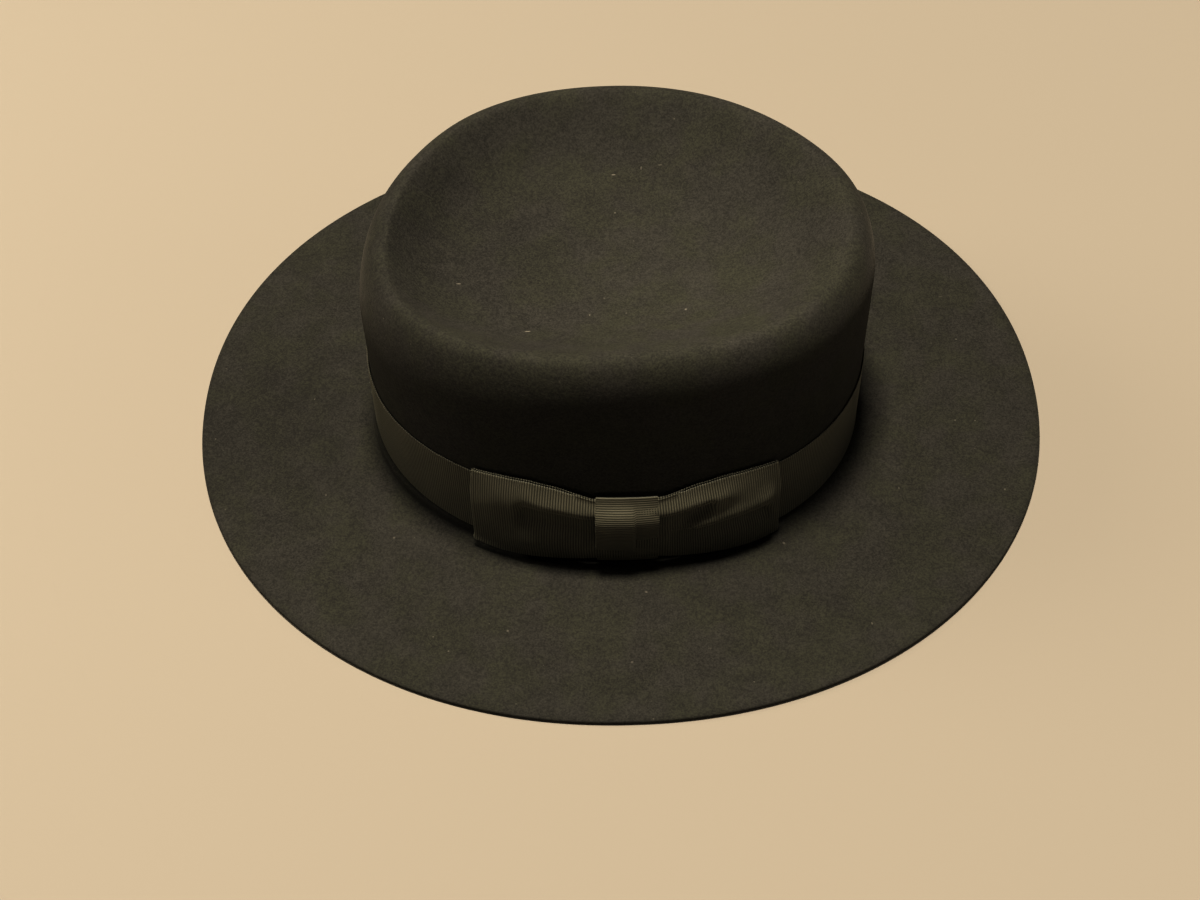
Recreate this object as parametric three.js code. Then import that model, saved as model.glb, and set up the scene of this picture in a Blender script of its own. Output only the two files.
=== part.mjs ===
// A fur felt fedora: one felt shell for crown and brim, a ribbed ribbon round the foot of the
// crown, and a flat ribbon bow of two loops and a knot on the wearer's left.
// Millimetres, +Z up. The origin is on the table under the middle of the brim. -X is the front of
// the hat and +X the back, -Y is the wearer's left, where the bow is.

import * as THREE from 'three';

// Driving dimensions of the felt
const crownLength = 209;
const crownWidth = 177;
const crownHeight = 113;
const crownShift = 1.6;
const brimWidth = 78.5;
const sideBrimWidth = 76.5;
const feltThickness = 2.2;
const edgeRound = 0.5;
const breakRadius = 2;
const wallLean = 3;
const footFlare = 2;
const footHeight = 5;
const rimReach = 12;
const rimDrop = 24;
const dentDepth = 18.5;
const floorSag = 3.5;

// Driving dimensions of the ribbon and the bow
const ribbonWidth = 38;
const ribbonThickness = 1;
const ribbonRise = 3.4;
const ribbonTilt = 3.3;
const bowLength = 119;
const bowShift = 0.8;
const knotWidth = 24.2;
const knotPuff = 2.5;
const loopPuff = 3.2;
const loopHollow = 0.8;
const foldRadius = 1.6;

// The gap that pieces keep where they lie on each other
const clearance = 0.3;

// How far the hat's ovals are from a true ellipse, whose power is 2
const ovalPower = 2.08;

// How round the crest is where the rim turns down into the dent, a share of the dent's side
const crestRound = 0.1;

// The crown's wall, rim and dent, a row for each direction seen from above, in degrees from the back.
// lean: how far the wall leans in from the brim break to the rim, a share of wallLean.
// foot: how far the wall spreads at its foot, under the ribbon's edge, a share of footFlare.
// run: how far the dent's side takes to reach the floor, a share of half the crown's width.
// rise: how far the rim's crest stands above the crown's height, a share of that height.
// reach, drop: how far the rim's roll reaches in and down, shares of rimReach and of rimDrop.
const crownDirections = [
  { azimuth: 0, lean: 0.0, foot: 0.0, run: 0.58, rise: 0.02, reach: 1, drop: 1 },
  { azimuth: 35, lean: 1.2, foot: 0.0, run: 0.56, rise: 0.01, reach: 1, drop: 1 },
  { azimuth: 90, lean: 0.8, foot: 0.1, run: 0.46, rise: 0, reach: 0.9, drop: 0.9 },
  { azimuth: 125, lean: 1.3, foot: 0.1, run: 0.36, rise: 0, reach: 0.85, drop: 0.85 },
  { azimuth: 150, lean: 1.9, foot: 0.3, run: 0.30, rise: 0, reach: 1, drop: 1 },
  { azimuth: 178, lean: 0.7, foot: 0.6, run: 0.27, rise: -0.01, reach: 1.15, drop: 1.35 },
  { azimuth: 208, lean: -0.4, foot: 1.0, run: 0.30, rise: -0.03, reach: 0.85, drop: 1.3 },
  { azimuth: 235, lean: -0.1, foot: 0.4, run: 0.43, rise: -0.005, reach: 0.75, drop: 1.05 },
  { azimuth: 270, lean: 0.8, foot: 0.0, run: 0.56, rise: 0.02, reach: 0.72, drop: 0.76 },
  { azimuth: 320, lean: -0.1, foot: 0.2, run: 0.60, rise: 0.015, reach: 0.75, drop: 0.75 },
];

// Sections of a bow loop from the knot to the outer fold.
// along: share of the loop's length outside the knot.
// puff: how far the front layer stands out, a share of loopPuff.
// low, high: levels of the loop's lower and upper edge, shares of the ribbon's width from the
// band's lower edge.
const loopSections = [
  { along: 0.00, puff: 0.00, low: 0.03, high: 0.97 },
  { along: 0.10, puff: 0.60, low: 0.01, high: 1.01 },
  { along: 0.30, puff: 1.00, low: -0.03, high: 1.09 },
  { along: 0.55, puff: 1.00, low: -0.05, high: 1.14 },
  { along: 0.80, puff: 0.70, low: -0.06, high: 1.12 },
  { along: 1.00, puff: 0.30, low: -0.05, high: 1.08 },
];

// The ridge along a loop's front layer: its level as a share of the loop's own width, the puff left
// at the upper and at the lower edge as shares of the ridge's, and how sharp its upper side is
const loopRidge = { level: 0.76, top: 0.1, foot: 0.25, power: 1.5 };

// Share of a loop's length over which its back layer settles onto the band
const settleLength = 0.4;

// Pleats that run out of the knot into each loop's front layer.
// level, tip: height of the pleat at the knot and at its tip, shares of the loop's own width.
// spread: half its width, the same. reach: share of the loop's length where it dies out.
// depth: share of the puff that it takes away.
const loopPleats = {
  left: [{ level: 0.52, tip: 0.64, spread: 0.15, reach: 0.60, depth: 0.85 }],
  right: [
    { level: 0.60, tip: 0.72, spread: 0.11, reach: 0.50, depth: 0.85 },
    { level: 0.30, tip: 0.42, spread: 0.12, reach: 0.95, depth: 0.70 },
  ],
};

// Step in azimuth and in share over which a face's direction is measured
const normalStep = 1e-3;

// How finely each surface is divided
const azimuthSteps = 60;
const stationSteps = { brim: 2, break: 3, foot: 3, wall: 4, rim: 5, slope: 6, floor: 4 };
const bandSteps = 6;
const loopSteps = { neck: 2, along: 10, fold: 4, across: 8 };
const knotSteps = { along: 4, face: 6 };

const deepFelt = new THREE.MeshStandardMaterial({ color: 0x23211c, roughness: 0.95, metalness: 0 });
const ribbedRibbon = new THREE.MeshStandardMaterial({ color: 0x1a1913, roughness: 0.7, metalness: 0 });

const mix = (low, high, share) => low + (high - low) * share;
const smooth = (share) => share * share * (3 - 2 * share);
const clamp = (value, low, high) => Math.min(Math.max(value, low), high);

// A point of a rounded oval at an azimuth
function ovalPoint(halfLength, halfWidth, azimuth, height) {
  const bend = (value) => Math.sign(value) * Math.abs(value) ** (2 / ovalPower);
  return new THREE.Vector3(
    halfLength * bend(Math.cos(azimuth)),
    halfWidth * bend(Math.sin(azimuth)),
    height,
  );
}

// A point of the hat by its distance outside the break oval, where crown and brim meet
function hatPoint(azimuth, reach, height) {
  const point = ovalPoint(crownLength / 2 + reach, crownWidth / 2 + reach, azimuth, height);
  point.x -= crownShift;
  return point;
}

// A column of crownDirections at any azimuth, blended smoothly between its rows
function directionValue(azimuth, column) {
  const turn = THREE.MathUtils.euclideanModulo(THREE.MathUtils.radToDeg(azimuth), 360);
  const rows = [...crownDirections, { ...crownDirections[0], azimuth: 360 }];
  const next = rows.findIndex((row) => row.azimuth > turn);
  const [before, after] = [rows[next - 1], rows[next]];
  const share = (turn - before.azimuth) / (after.azimuth - before.azimuth);
  return mix(before[column], after[column], smooth(share));
}

// A column of loopSections at any share of the loop's length
function loopValue(along, column) {
  const next = Math.max(1, loopSections.findIndex((row) => row.along >= along));
  const [before, after] = [loopSections[next - 1], loopSections[next]];
  const share = (along - before.along) / (after.along - before.along);
  return mix(before[column], after[column], smooth(share));
}

const wallFoot = feltThickness + breakRadius;
const floorHeight = crownHeight - dentDepth;

const rimHeight = (azimuth) => crownHeight * (1 + directionValue(azimuth, 'rise'));
const lean = (azimuth) => wallLean * directionValue(azimuth, 'lean');
const foot = (azimuth) => footFlare * directionValue(azimuth, 'foot');
const rollReach = (azimuth) => rimReach * directionValue(azimuth, 'reach');
const rollDrop = (azimuth) => rimDrop * directionValue(azimuth, 'drop');
const dentRun = (azimuth) => directionValue(azimuth, 'run') * crownWidth / 2;

// How far the dent sags at a share of the way from the rim's crest to its middle
const sag = (inward) => floorSag * (1 - (1 - inward) ** 2) ** 2;

// The share of that way at which the dent's side ends
const floorEdge = (azimuth) => dentRun(azimuth) / (crownWidth / 2 - lean(azimuth) - rollReach(azimuth));

// How far the crown's wall stands outside the break oval at a height: below zero where it leans in
function wallReach(azimuth, height) {
  const wallShare = (height - wallFoot) / (rimHeight(azimuth) - rollDrop(azimuth) - wallFoot);
  const footShare = clamp((height - wallFoot) / footHeight, 0, 1);
  return foot(azimuth) * (1 - footShare ** 6) - lean(azimuth) * smooth(clamp(wallShare, 0, 1));
}

// A point of the brim's outline, or a distance inside it
function brimOutline(azimuth, inset, height) {
  const halfLength = crownLength / 2 + brimWidth - inset;
  const halfWidth = crownWidth / 2 + sideBrimWidth - inset;
  return ovalPoint(halfLength, halfWidth, azimuth, height);
}

// The felt's outer face, from the brim's edge to the middle of the dent, in pieces that each run
// from share 0 to share 1 and meet without a corner
const outerFace = {
  brim: (azimuth, share) => brimOutline(azimuth, edgeRound, feltThickness)
    .lerp(hatPoint(azimuth, foot(azimuth) + breakRadius, feltThickness), share),
  break: (azimuth, share) => {
    const angle = share * Math.PI / 2;
    const reach = foot(azimuth) + breakRadius * (1 - Math.sin(angle));
    return hatPoint(azimuth, reach, wallFoot - breakRadius * Math.cos(angle));
  },
  foot: (azimuth, share) => {
    const height = wallFoot + footHeight * share;
    return hatPoint(azimuth, wallReach(azimuth, height), height);
  },
  wall: (azimuth, share) => {
    const height = mix(wallFoot + footHeight, rimHeight(azimuth) - rollDrop(azimuth), share);
    return hatPoint(azimuth, wallReach(azimuth, height), height);
  },
  rim: (azimuth, share) => {
    const angle = share * Math.PI / 2;
    const reach = -lean(azimuth) - rollReach(azimuth) * (1 - Math.cos(angle));
    return hatPoint(azimuth, reach, rimHeight(azimuth) - rollDrop(azimuth) * (1 - Math.sin(angle)));
  },
  slope: (azimuth, share) => {
    const reach = -lean(azimuth) - rollReach(azimuth) - dentRun(azimuth) * share;
    const fall = share ** 2 * (1 + crestRound) / (share + crestRound);
    const height = mix(rimHeight(azimuth), floorHeight, 1 - (1 - fall) ** 2);
    return hatPoint(azimuth, reach, height - sag(floorEdge(azimuth) * share));
  },
  floor: (azimuth, share) => {
    const middle = new THREE.Vector3(-crownShift, 0, 0);
    const point = outerFace.slope(azimuth, 1).lerp(middle, share);
    point.z = floorHeight - sag(mix(floorEdge(azimuth), 1, share));
    return point;
  },
};

// The felt's inner face lies the felt's thickness under the outer one, along its normal
function innerPoint(piece, azimuth, share) {
  const face = outerFace[piece];
  const around = face(azimuth + normalStep, share).sub(face(azimuth - normalStep, share));
  const [before, after] = [Math.max(share - normalStep, 0), Math.min(share + normalStep, 1)];
  const upward = face(azimuth, after).sub(face(azimuth, before));
  const normal = around.cross(upward).normalize();
  return face(azimuth, share).addScaledVector(normal, -feltThickness);
}

// A closed mesh from rings of points, each ring joined to the next. A ring of one point is a pole.
// closed: the last ring joins the first, otherwise both ends are poles.
function meshFromRings(rings, closed) {
  const starts = [];
  const positions = [];
  for (const ring of rings) {
    starts.push(positions.length / 3);
    for (const point of ring) positions.push(point.x, point.y, point.z);
  }
  const triangles = [];
  const joins = closed ? rings.length : rings.length - 1;
  for (let row = 0; row < joins; row += 1) {
    const [low, high] = [rings[row], rings[(row + 1) % rings.length]];
    const [lowStart, highStart] = [starts[row], starts[(row + 1) % rings.length]];
    const count = Math.max(low.length, high.length);
    for (let column = 0; column < count; column += 1) {
      const next = (column + 1) % count;
      const lowCorner = (index) => lowStart + (low.length === 1 ? 0 : index);
      const highCorner = (index) => highStart + (high.length === 1 ? 0 : index);
      if (low.length > 1) {
        triangles.push(lowCorner(column), lowCorner(next), highCorner(next));
      }
      if (high.length > 1) {
        triangles.push(lowCorner(column), highCorner(next), highCorner(column));
      }
    }
  }
  const geometry = new THREE.BufferGeometry();
  geometry.setAttribute('position', new THREE.Float32BufferAttribute(positions, 3));
  geometry.setIndex(triangles);
  geometry.computeVertexNormals();
  return geometry;
}

const azimuths = Array.from({ length: azimuthSteps }, (_, index) => index * 2 * Math.PI / azimuthSteps);

// Crown and brim as one shell of felt, hollow and open below, with a cut edge round the brim
function feltGeometry() {
  const outer = [];
  const inner = [];
  for (const [piece, steps] of Object.entries(stationSteps)) {
    for (let step = 0; step < steps; step += 1) {
      const share = step / steps;
      outer.push(azimuths.map((azimuth) => outerFace[piece](azimuth, share)));
      inner.push(azimuths.map((azimuth) => innerPoint(piece, azimuth, share)));
    }
  }
  const middle = new THREE.Vector3(-crownShift, 0, floorHeight - floorSag);
  const underMiddle = middle.clone().setZ(middle.z - feltThickness);
  const edge = azimuths.map((azimuth) => brimOutline(azimuth, 0, feltThickness / 2));
  return meshFromRings([[underMiddle], ...inner.reverse(), edge, ...outer, [middle]], false);
}

// Where the ribbon's lower edge runs: a little higher at the front than at the back
const ribbonFoot = (azimuth) => wallFoot + ribbonRise - ribbonTilt * Math.cos(azimuth);

// A point on or over the crown's wall within the ribbon's width.
// level: share of the ribbon's width from its lower edge. offset: distance out from the felt.
function ribbonPoint(azimuth, level, offset) {
  const height = ribbonFoot(azimuth) + ribbonWidth * level;
  return hatPoint(azimuth, wallReach(azimuth, height) + offset, height);
}

// The ribbon as a ring that lies on the crown all round
function bandGeometry() {
  const ring = (level, offset) => azimuths.map((azimuth) => ribbonPoint(azimuth, level, offset));
  const rings = [];
  for (let step = 0; step <= bandSteps; step += 1) {
    rings.push(ring(step / bandSteps, clearance + ribbonThickness));
  }
  for (let step = bandSteps; step >= 0; step -= 1) {
    rings.push(ring(step / bandSteps, clearance));
  }
  return meshFromRings(rings, true);
}

// The bow is laid out along the hat's length and out from the ribbon's face
const ribbonFace = clearance + ribbonThickness;
const sleeveBack = ribbonFace + clearance;
const neckBack = sleeveBack + ribbonThickness + clearance;
const neckFront = neckBack + 2 * ribbonThickness + loopHollow;
const knotHalf = knotWidth / 2;
const loopLength = bowLength / 2 - knotHalf;
const { low: neckLow, high: neckHigh } = loopSections[0];

// A point of the bow. x: distance along the hat's length from the bow's middle.
function bowPoint(x, level, offset) {
  const share = clamp((x + bowShift + crownShift) / (crownLength / 2), -1, 1);
  const azimuth = -Math.acos(Math.sign(share) * Math.abs(share) ** (ovalPower / 2));
  return ribbonPoint(azimuth, level, offset);
}

// How far a loop's layers stand out from the felt at a share of its length and a level
function backOffset(along) {
  return mix(neckBack, ribbonFace + clearance, smooth(clamp(along / settleLength, 0, 1)));
}

function frontOffset(side, along, level) {
  const above = clamp((level - loopRidge.level) / (1 - loopRidge.level), 0, 1);
  const below = clamp(level / loopRidge.level, 0, 1);
  const arch = mix(1, loopRidge.top, above ** loopRidge.power) * mix(loopRidge.foot, 1, smooth(below));
  const pleats = loopPleats[side].map((pleat) => {
    const fade = clamp(1 - along / pleat.reach, 0, 1);
    const centre = mix(pleat.tip, pleat.level, fade);
    const across = (level - centre) / pleat.spread;
    return 1 - pleat.depth * Math.sqrt(smooth(fade)) * Math.exp(-across * across);
  });
  const left = pleats.reduce((product, share) => product * share, 1);
  const puff = loopPuff * loopValue(along, 'puff') * arch * left;
  return backOffset(along) + 2 * ribbonThickness + loopHollow + puff;
}

// One loop: a flattened tube of ribbon whose outer end is folded over and whose inner end is
// gathered in the knot. It is open above and below.
function loopGeometry(side) {
  const hand = side === 'left' ? -1 : 1;
  // A station of the loop's outline: x without its sign, share of the length, and layer
  const stations = [];
  const neckEnd = clearance / 2;
  for (let step = 0; step < loopSteps.neck; step += 1) {
    stations.push({ x: mix(neckEnd, knotHalf, step / loopSteps.neck), along: 0 });
  }
  for (let step = 0; step <= loopSteps.along; step += 1) {
    const along = step / loopSteps.along;
    stations.push({ x: mix(knotHalf, knotHalf + loopLength - foldRadius, along), along });
  }
  // The outline at one level, on the outer face of the tube or, with a depth, on its inner one
  const outline = (level, depth) => {
    const place = (station, offset, shift) => {
      const [low, high] = [loopValue(station.along, 'low'), loopValue(station.along, 'high')];
      return bowPoint(hand * (station.x + shift), mix(low, high, level), offset);
    };
    const first = stations[0];
    const last = stations[stations.length - 1];
    const endShift = (station) => (station === first ? depth : 0);
    const back = stations.map((station) => (
      place(station, backOffset(station.along) + depth, endShift(station))
    ));
    const foldBack = backOffset(1) + depth;
    const foldFront = frontOffset(side, 1, level) - depth;
    const fold = [];
    for (let step = 1; step < loopSteps.fold; step += 1) {
      const angle = step / loopSteps.fold * Math.PI;
      const offset = mix(foldBack, foldFront, (1 - Math.cos(angle)) / 2);
      fold.push(place(last, offset, (foldRadius - depth) * Math.sin(angle)));
    }
    const front = stations.map((station) => (
      place(station, frontOffset(side, station.along, level) - depth, endShift(station))
    )).reverse();
    const ring = [...back, ...fold, ...front];
    return hand === 1 ? ring.reverse() : ring;
  };
  const rings = [];
  for (let step = 0; step <= loopSteps.across; step += 1) {
    rings.push(outline(step / loopSteps.across, 0));
  }
  for (let step = loopSteps.across; step >= 0; step -= 1) {
    rings.push(outline(step / loopSteps.across, ribbonThickness));
  }
  return meshFromRings(rings, true);
}

// The knot: a sleeve of ribbon round the two gathered necks, its front face rounded
function knotGeometry() {
  // Corners of the sleeve's section, on its outer face or, with a depth, on its inner one
  const section = (depth) => {
    const margin = (clearance + ribbonThickness - depth) / ribbonWidth;
    const [low, high] = [neckLow - margin, neckHigh + margin];
    const [back, front] = [sleeveBack + depth, neckFront + clearance + ribbonThickness - depth];
    const points = [{ level: low, offset: back }];
    for (let step = 0; step <= knotSteps.face; step += 1) {
      const share = step / knotSteps.face;
      const puff = knotPuff * (1 - (2 * share - 1) ** 2);
      points.push({ level: mix(low, high, share), offset: front + puff });
    }
    points.push({ level: high, offset: back });
    return points;
  };
  const ring = (x, depth) => section(depth).map(({ level, offset }) => bowPoint(x, level, offset));
  const rings = [];
  for (let step = 0; step <= knotSteps.along; step += 1) {
    rings.push(ring(mix(knotHalf, -knotHalf, step / knotSteps.along), 0));
  }
  for (let step = knotSteps.along; step >= 0; step -= 1) {
    rings.push(ring(mix(knotHalf, -knotHalf, step / knotSteps.along), ribbonThickness));
  }
  return meshFromRings(rings, true);
}

function namedMesh(name, geometry, material) {
  const mesh = new THREE.Mesh(geometry, material);
  mesh.name = name;
  return mesh;
}

const fedora = new THREE.Group();
fedora.add(namedMesh('felt_body', feltGeometry(), deepFelt));
fedora.add(namedMesh('hat_band', bandGeometry(), ribbedRibbon));
fedora.add(namedMesh('bow_loop_left', loopGeometry('left'), ribbedRibbon));
fedora.add(namedMesh('bow_loop_right', loopGeometry('right'), ribbedRibbon));
fedora.add(namedMesh('bow_knot', knotGeometry(), ribbedRibbon));

export default fedora;
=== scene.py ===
"""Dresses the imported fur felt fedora: felt, ribbed ribbon, bow, floor, light and camera.

Metres, +Z up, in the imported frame: -X is the front of the hat and -Y the wearer's left, where the
bow is. Every piece is laid on the hat's own ovals. The brim's outline and the crown's height come
from the frame.
"""

import logging
import math
from collections.abc import Callable
from dataclasses import dataclass
from enum import Enum

import bpy
import numpy as np
from mathutils import Matrix, Vector


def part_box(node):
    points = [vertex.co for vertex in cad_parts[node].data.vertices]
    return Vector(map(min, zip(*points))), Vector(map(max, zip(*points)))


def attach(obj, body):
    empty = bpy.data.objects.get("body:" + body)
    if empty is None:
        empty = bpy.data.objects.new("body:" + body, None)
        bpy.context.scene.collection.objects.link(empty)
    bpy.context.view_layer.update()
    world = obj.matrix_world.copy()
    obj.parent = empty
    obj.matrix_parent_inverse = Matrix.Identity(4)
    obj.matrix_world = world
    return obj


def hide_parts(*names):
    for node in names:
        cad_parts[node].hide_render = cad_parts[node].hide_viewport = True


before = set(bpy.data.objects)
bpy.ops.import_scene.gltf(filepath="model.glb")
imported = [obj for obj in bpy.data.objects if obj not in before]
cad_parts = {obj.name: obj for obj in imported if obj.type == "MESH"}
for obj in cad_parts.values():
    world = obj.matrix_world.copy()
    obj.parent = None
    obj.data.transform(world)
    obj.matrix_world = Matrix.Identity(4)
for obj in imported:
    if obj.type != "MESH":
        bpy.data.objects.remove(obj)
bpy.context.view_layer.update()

MM = 0.001
TINY = 1e-12
Colour = tuple[float, float, float]
Place = tuple[float, float, float]
Grid = np.ndarray
Socket = bpy.types.NodeSocket
Tree = bpy.types.NodeTree


class Slot(Enum):
    """The record's material slots."""

    FELT = "fur_felt"
    RIBBON = "ribbed_ribbon"


class Side(Enum):
    """Which end of the bow a loop is on, as the sign of its x."""

    LEFT = -1
    RIGHT = 1


class Stretch(Enum):
    """The stretches of the felt's profile, from the brim's edge to the middle of the dish."""

    BRIM = 0
    BREAK = 1
    FOOT = 2
    WALL = 3
    RIM = 4
    SLOPE = 5
    FLOOR = 6


def mix(low: Grid | float, high: Grid | float, share: Grid | float) -> Grid | float:
    """Blends from low at share 0 to high at share 1."""
    return low + (high - low) * share


def smooth(share: Grid | float) -> Grid:
    """Eases a share that is kept between 0 and 1."""
    share = np.clip(share, 0.0, 1.0)
    return share * share * (3.0 - 2.0 * share)


def bell(distance: Grid, spread: Grid | float) -> Grid:
    """Gives 1 at no distance, and about a third at the spread."""
    return np.exp(-((distance / spread) ** 2))


def signed_power(value: Grid, power: float) -> Grid:
    """Raises a value's size to a power and keeps its sign."""
    return np.sign(value) * np.abs(value) ** power


def even_pace(line: Grid, turn: Grid) -> tuple[Callable[[Grid], Grid], float]:
    """Measures a curve, so that it can be followed at an even pace.

    Args:
        line: Points of the curve.
        turn: The curve's own parameter at each point.

    Returns:
        A function from shares of the curve's length to its parameter, and the length.
    """
    steps = np.concatenate([[0.0], np.cumsum(np.linalg.norm(np.diff(line, axis=0), axis=1))])
    length = float(steps[-1])
    return lambda share: np.interp(share, steps / length, turn), length


# The hat's form, which every piece is laid on


@dataclass(frozen=True)
class CrownDirection:
    """The crown's shape in one direction seen from above.

    azimuth is in degrees from the back. lean, foot and run are shares of the form's wall_lean,
    foot_flare and half the crown's width, rise is a share of the crown's height, and reach and
    drop are shares of the form's rim_reach and rim_drop.
    """

    azimuth: float
    lean: float
    foot: float
    run: float
    rise: float
    reach: float
    drop: float


CROWN_DIRECTIONS = (
    CrownDirection(0, 0.0, 0.0, 0.58, 0.02, 1.0, 1.0),
    CrownDirection(35, 1.2, 0.0, 0.56, 0.01, 1.0, 1.0),
    CrownDirection(90, 0.8, 0.1, 0.46, 0.0, 0.9, 0.9),
    CrownDirection(125, 1.3, 0.1, 0.36, 0.0, 0.85, 0.85),
    CrownDirection(150, 1.9, 0.3, 0.30, 0.0, 1.0, 1.0),
    CrownDirection(178, 0.7, 0.6, 0.27, -0.01, 1.15, 1.35),
    CrownDirection(208, -0.4, 1.0, 0.30, -0.03, 0.85, 1.3),
    CrownDirection(235, -0.1, 0.4, 0.43, -0.005, 0.75, 1.05),
    CrownDirection(270, 0.8, 0.0, 0.56, 0.02, 0.72, 0.76),
    CrownDirection(320, -0.1, 0.2, 0.60, 0.015, 0.75, 0.75),
)


@dataclass(frozen=True)
class HatForm:
    """The ovals and the profile of the felt.

    The first three sizes come from the frame. The break is the bend between brim and crown, and
    crown_shift is how far it lies to the front. crest_round rounds the dish's inner edge.
    """

    brim_half_length: float
    brim_half_width: float
    crown_height: float
    crown_half_length: float = 104.5 * MM
    crown_half_width: float = 88.5 * MM
    crown_shift: float = 1.6 * MM
    felt_thickness: float = 2.2 * MM
    edge_round: float = 0.5 * MM
    break_radius: float = 2.0 * MM
    wall_lean: float = 3.0 * MM
    foot_flare: float = 2.0 * MM
    foot_height: float = 5.0 * MM
    rim_reach: float = 12.0 * MM
    rim_drop: float = 24.0 * MM
    dish_depth: float = 18.5 * MM
    crest_round: float = 0.10
    floor_sag: float = 3.5 * MM
    oval_power: float = 2.08

    @classmethod
    def from_frame(cls) -> "HatForm":
        """Reads the brim's outline and the crown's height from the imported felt.

        Returns:
            The form with its driving sizes.
        """
        _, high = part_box("felt_body")
        highest_rise = max(row.rise for row in CROWN_DIRECTIONS)
        return cls(high.x, high.y, high.z / (1.0 + highest_rise))

    @property
    def wall_foot(self) -> float:
        """Height where the crown's wall starts, over the break."""
        return self.felt_thickness + self.break_radius

    @property
    def floor_height(self) -> float:
        """Height of the dish's floor at its edge."""
        return self.crown_height - self.dish_depth

    def around(self, azimuth: Grid, column: str) -> Grid:
        """Reads a column of CROWN_DIRECTIONS at any azimuth, with a smooth periodic curve.

        Args:
            azimuth: Angles from the back of the hat, in radians.
            column: Name of the CrownDirection field.

        Returns:
            The column's value at each angle.
        """
        turns = np.array([row.azimuth for row in CROWN_DIRECTIONS], float)
        values = np.array([getattr(row, column) for row in CROWN_DIRECTIONS], float)
        turns = np.concatenate([turns - 360.0, turns, turns + 360.0])
        values = np.tile(values, 3)
        slopes = np.gradient(values, turns)
        at = np.degrees(azimuth) % 360.0
        after = np.searchsorted(turns, at, side="right")
        before = after - 1
        width = turns[after] - turns[before]
        share = (at - turns[before]) / width
        start = (1 + 2 * share) * (1 - share) ** 2 * values[before]
        end = share**2 * (3 - 2 * share) * values[after]
        leave = share * (1 - share) ** 2 * width * slopes[before]
        arrive = share**2 * (share - 1) * width * slopes[after]
        return start + end + leave + arrive

    def oval(self, half_length: Grid, half_width: Grid, azimuth: Grid, height: Grid) -> Grid:
        """Gives points of a rounded oval round the middle of the brim.

        Args:
            half_length: Half the oval's length.
            half_width: Half its width.
            azimuth: Angles from the back of the hat.
            height: Heights over the table.

        Returns:
            The points.
        """
        x = half_length * signed_power(np.cos(azimuth), 2.0 / self.oval_power)
        y = half_width * signed_power(np.sin(azimuth), 2.0 / self.oval_power)
        return np.stack(np.broadcast_arrays(x, y, height), axis=-1)

    def hat_point(self, azimuth: Grid, reach: Grid, height: Grid) -> Grid:
        """Gives points by their distance outside the oval of the break."""
        length, width = self.crown_half_length + reach, self.crown_half_width + reach
        return self.oval(length, width, azimuth, height) - [self.crown_shift, 0.0, 0.0]

    def brim_outline(self, azimuth: Grid, inset: Grid, height: Grid) -> Grid:
        """Gives points of the brim's outline, or inside it by the inset."""
        length, width = self.brim_half_length - inset, self.brim_half_width - inset
        return self.oval(length, width, azimuth, height)

    def rim_height(self, azimuth: Grid) -> Grid:
        """Height of the rim's crest."""
        return self.crown_height * (1.0 + self.around(azimuth, "rise"))

    def roll(self, azimuth: Grid) -> tuple[Grid, Grid]:
        """How far the rim's roll reaches in, and how far it drops."""
        reach = self.rim_reach * self.around(azimuth, "reach")
        return reach, self.rim_drop * self.around(azimuth, "drop")

    def wall_reach(self, azimuth: Grid, height: Grid) -> Grid:
        """How far the crown's wall stands outside the oval of the break at a height.

        Args:
            azimuth: Angles from the back of the hat.
            height: Heights over the table.

        Returns:
            The distance, below zero where the wall leans in.
        """
        _, drop = self.roll(azimuth)
        wall_share = (height - self.wall_foot) / (self.rim_height(azimuth) - drop - self.wall_foot)
        foot_share = np.clip((height - self.wall_foot) / self.foot_height, 0.0, 1.0)
        flare = self.foot_flare * self.around(azimuth, "foot") * (1.0 - foot_share**6)
        return flare - self.wall_lean * self.around(azimuth, "lean") * smooth(wall_share)

    def outer_face(self, stretch: Stretch, azimuth: Grid, share: Grid) -> Grid:
        """Gives points of the felt's outer face.

        Args:
            stretch: Which stretch of the profile.
            azimuth: Angles from the back of the hat, along the grid's columns.
            share: Share of the stretch, along the grid's rows.

        Returns:
            One point for each row and column.
        """
        flare = self.foot_flare * self.around(azimuth, "foot")
        lean = self.wall_lean * self.around(azimuth, "lean")
        reach, drop = self.roll(azimuth)
        crest = self.rim_height(azimuth)
        angle = share * math.pi / 2
        if stretch is Stretch.BRIM:
            edge = self.brim_outline(azimuth, self.edge_round, self.felt_thickness)
            foot = self.hat_point(azimuth, flare + self.break_radius, self.felt_thickness)
            return mix(edge, foot, share[..., None])
        if stretch is Stretch.BREAK:
            out = flare + self.break_radius * (1.0 - np.sin(angle))
            return self.hat_point(azimuth, out, self.wall_foot - self.break_radius * np.cos(angle))
        if stretch in (Stretch.FOOT, Stretch.WALL):
            foot_top = self.wall_foot + self.foot_height
            in_foot = stretch is Stretch.FOOT
            ends = (self.wall_foot, foot_top) if in_foot else (foot_top, crest - drop)
            height = mix(*ends, share)
            return self.hat_point(azimuth, self.wall_reach(azimuth, height), height)
        if stretch is Stretch.RIM:
            out = -lean - reach * (1.0 - np.cos(angle))
            return self.hat_point(azimuth, out, crest - drop * (1.0 - np.sin(angle)))
        run = self.around(azimuth, "run") * self.crown_half_width
        floor_edge = run / (self.crown_half_width - lean - reach)
        if stretch is Stretch.SLOPE:
            fall = share**2 * (1.0 + self.crest_round) / (share + self.crest_round)
            height = mix(crest, self.floor_height, 1.0 - (1.0 - fall) ** 2)
            height = height - self.sag(floor_edge * share)
            return self.hat_point(azimuth, -lean - reach - run * share, height)
        middle = np.array([-self.crown_shift, 0.0, 0.0])
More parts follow.
